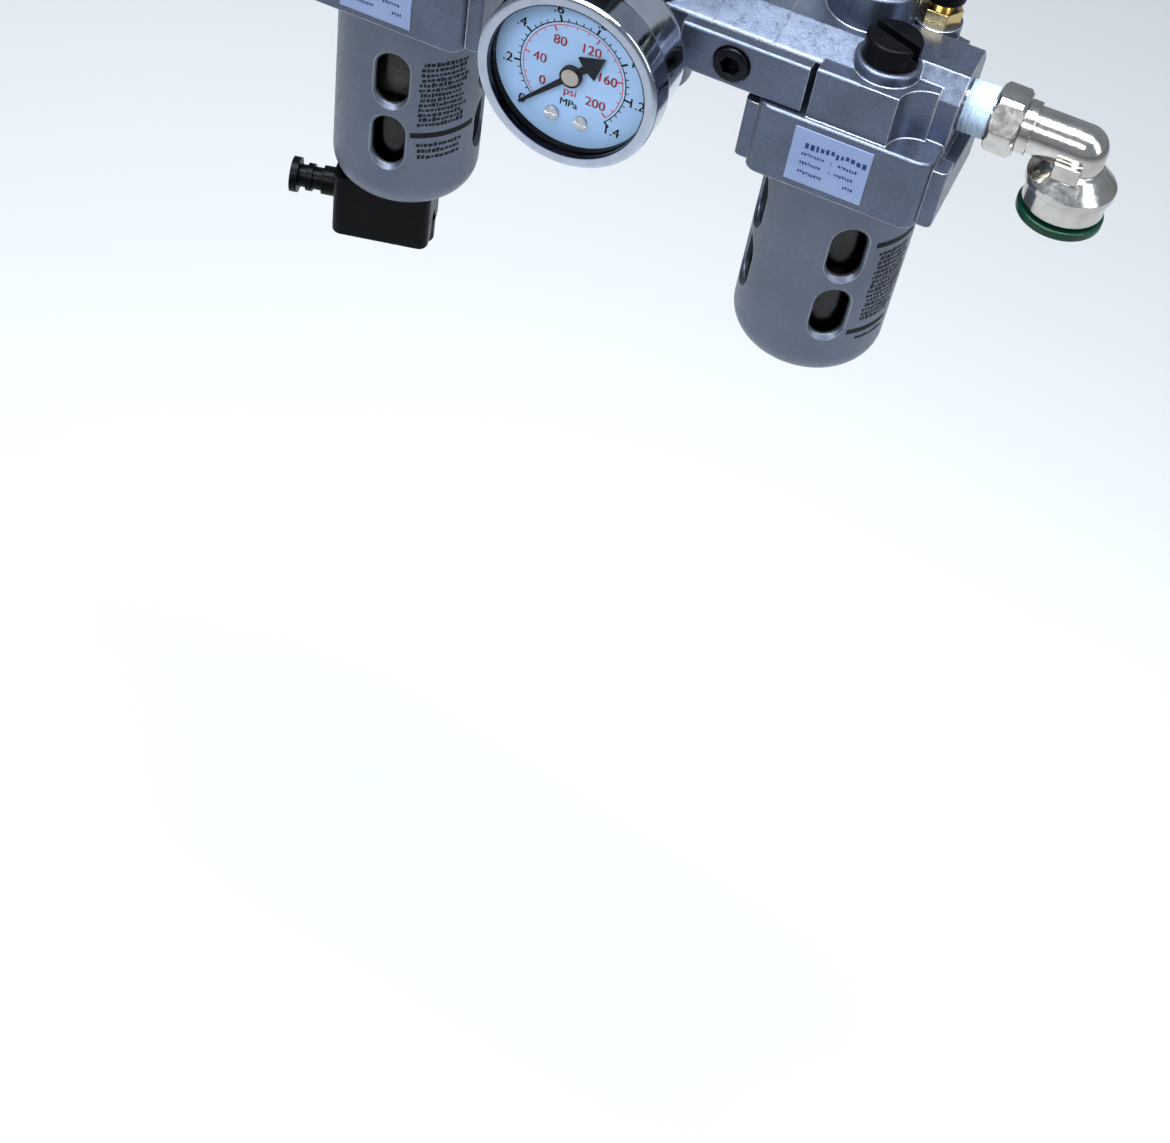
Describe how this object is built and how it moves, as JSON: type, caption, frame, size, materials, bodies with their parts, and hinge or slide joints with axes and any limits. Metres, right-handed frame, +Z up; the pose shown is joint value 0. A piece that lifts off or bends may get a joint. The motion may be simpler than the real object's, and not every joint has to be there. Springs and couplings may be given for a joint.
{
  "type": "filter regulator lubricator",
  "caption": "Modular compressed-air filter, regulator and lubricator joined in line, with bowl guards, dial gauge and swivel outlet elbow.",
  "frame": {"origin": "centre of the inlet port, on the filter's left port face", "axes": "+X along the air flow from inlet to outlet, +Z up, -Y the front with the gauge"},
  "size_m": [0.241, 0.08, 0.1802],
  "materials": {
    "cast_body": "die-cast, satin painted silver",
    "guard_metal": "sprayed matte silver",
    "clamp_metal": "die-cast satin",
    "bracket_steel": "zinc-plated",
    "screw_black": "black oxide",
    "clear_bowl": "clear polycarbonate",
    "clear_lens": "clear",
    "black_plastic": "moulded",
    "black_rubber": "nitrile",
    "steel": "turned",
    "spring_steel": "drawn",
    "chrome": "bright chrome",
    "brass": "turned",
    "nickel": "nickel-plated brass",
    "dial_face": "printed",
    "white_plastic": "moulded",
    "porous_filter": "sintered",
    "plate_foil": "printed foil",
    "tape_white": "thread tape",
    "ring_green": "moulded",
    "ring_orange": "moulded"
  },
  "bodies": {
    "base": {"filter_body": "cast_body", "filter_plate": "plate_foil", "filter_deflector": "white_plastic", "filter_element": "porous_filter", "filter_baffle": "white_plastic", "spacer_left": "cast_body", "spacer_right": "cast_body", "spacer_seals": "black_rubber", "front_clamp_left": "clamp_metal", "front_clamp_right": "clamp_metal", "wall_bracket_left": "bracket_steel", "wall_bracket_right": "bracket_steel", "clamp_screws": "screw_black", "regulator_body": "cast_body", "valve_spring": "spring_steel", "valve_plug": "black_plastic", "diaphragm": "black_rubber", "diaphragm_plate": "steel", "regulator_bonnet": "black_plastic", "lock_ring": "ring_orange", "regulating_spring": "spring_steel", "gauge_socket": "brass", "gauge_case": "chrome", "gauge_bezel": "chrome", "gauge_lens": "clear_lens", "gauge_dial": "dial_face", "gauge_spacer_ring": "black_plastic", "gauge_movement": "brass", "bourdon_tube": "brass", "dial_screws": "steel", "lubricator_body": "cast_body", "lubricator_plate": "plate_foil", "siphon_tube": "white_plastic", "sight_dome": "clear_bowl", "drip_tube": "white_plastic", "bleed_valve": "brass", "outlet_nipple": "nickel", "sealing_tape": "tape_white"},
    "filter_bowl_unit": {"filter_bowl_guard": "guard_metal", "filter_bowl": "clear_bowl", "filter_bowl_seal": "black_rubber", "drain_block": "black_plastic", "drain_nozzle": "black_plastic"},
    "drain_button_body": {"drain_button": "black_plastic"},
    "lubricator_bowl_unit": {"lubricator_bowl_guard": "guard_metal", "lubricator_bowl": "clear_bowl", "lubricator_bowl_seal": "black_rubber"},
    "adjuster": {"adjusting_screw": "steel"},
    "knob": {"regulator_knob": "black_plastic"},
    "spring_seat": {"spring_nut": "brass"},
    "valve": {"regulator_valve": "brass"},
    "pointer": {"gauge_pointer": "black_plastic"},
    "plug_gasket": {"plug_seal": "black_rubber"},
    "plug": {"fill_plug": "black_plastic"},
    "needle": {"drip_needle": "black_plastic"},
    "bleed": {"bleed_knob": "black_plastic"},
    "elbow": {"outlet_elbow": "nickel", "coupling_cap": "nickel"},
    "release": {"release_ring": "ring_green"}
  },
  "joints": [
    {"name": "filter_bowl_twist", "type": "hinge", "parent": "base", "child": "filter_bowl_unit", "pos_m": [0.025, 0, -0.06], "axis": [0, 0, 1], "range_deg": [0, 45]},
    {"name": "drain_push", "type": "slide", "parent": "filter_bowl_unit", "child": "drain_button_body", "axis": [0, 0, 1], "range_m": [0, 0.002], "stiffness_N_per_m": 400, "springref_m": -0.002},
    {"name": "lubricator_bowl_twist", "type": "hinge", "parent": "base", "child": "lubricator_bowl_unit", "pos_m": [0.16, 0, -0.06], "axis": [0, 0, 1], "range_deg": [0, 45]},
    {"name": "pressure_adjust", "type": "hinge", "parent": "base", "child": "adjuster", "pos_m": [0.0925, 0, 0.045], "axis": [0, 0, -1], "range_deg": [0, 1080]},
    {"name": "knob_pull", "type": "slide", "parent": "adjuster", "child": "knob", "axis": [0, 0, 1], "range_m": [0, 0.003]},
    {"name": "spring_seat_travel", "type": "slide", "parent": "base", "child": "spring_seat", "axis": [0, 0, -1], "range_m": [0, 0.00302], "deforming": ["regulating_spring"]},
    {"name": "valve_lift", "type": "slide", "parent": "base", "child": "valve", "axis": [0, 0, -1], "range_m": [0, 0.0015], "stiffness_N_per_m": 800, "springref_m": -0.002, "deforming": ["valve_spring"]},
    {"name": "pointer_sweep", "type": "hinge", "parent": "base", "child": "pointer", "pos_m": [0.0925, -0.048, 0], "axis": [0, 1, 0], "range_deg": [0, 270], "stiffness_Nm_per_rad": 0.002, "springref_deg": -20.05},
    {"name": "plug_lift", "type": "slide", "parent": "base", "child": "plug_gasket", "axis": [0, 0, 1], "range_m": [0, 0.004]},
    {"name": "plug_turn", "type": "hinge", "parent": "plug_gasket", "child": "plug", "pos_m": [0.1639, -0.0105, 0.0125], "axis": [0, 0, 1], "range_deg": [0, 965]},
    {"name": "oil_feed_turn", "type": "hinge", "parent": "base", "child": "needle", "pos_m": [0.1525, 0.0075, 0.035], "axis": [0, 0, 1], "range_deg": [0, 270]},
    {"name": "bleed_turn", "type": "hinge", "parent": "base", "child": "bleed", "pos_m": [0.1696, 0.0139, 0.018], "axis": [0, 0, 1], "range_deg": [0, 180]},
    {"name": "elbow_swivel", "type": "hinge", "parent": "base", "child": "elbow", "pos_m": [0.205, 0, 0], "axis": [1, 0, 0], "continuous": true},
    {"name": "release_push", "type": "slide", "parent": "elbow", "child": "release", "axis": [0, 0, 1], "range_m": [0, 0.0014], "stiffness_N_per_m": 1500, "springref_m": -0.002}
  ],
  "couplings": [
    {"joint": "spring_seat_travel", "follows": "pressure_adjust", "m_per_rad": 0.00015915},
    {"joint": "plug_turn", "follows": "plug_lift", "rad_per_m": 4188.8}
  ]
}
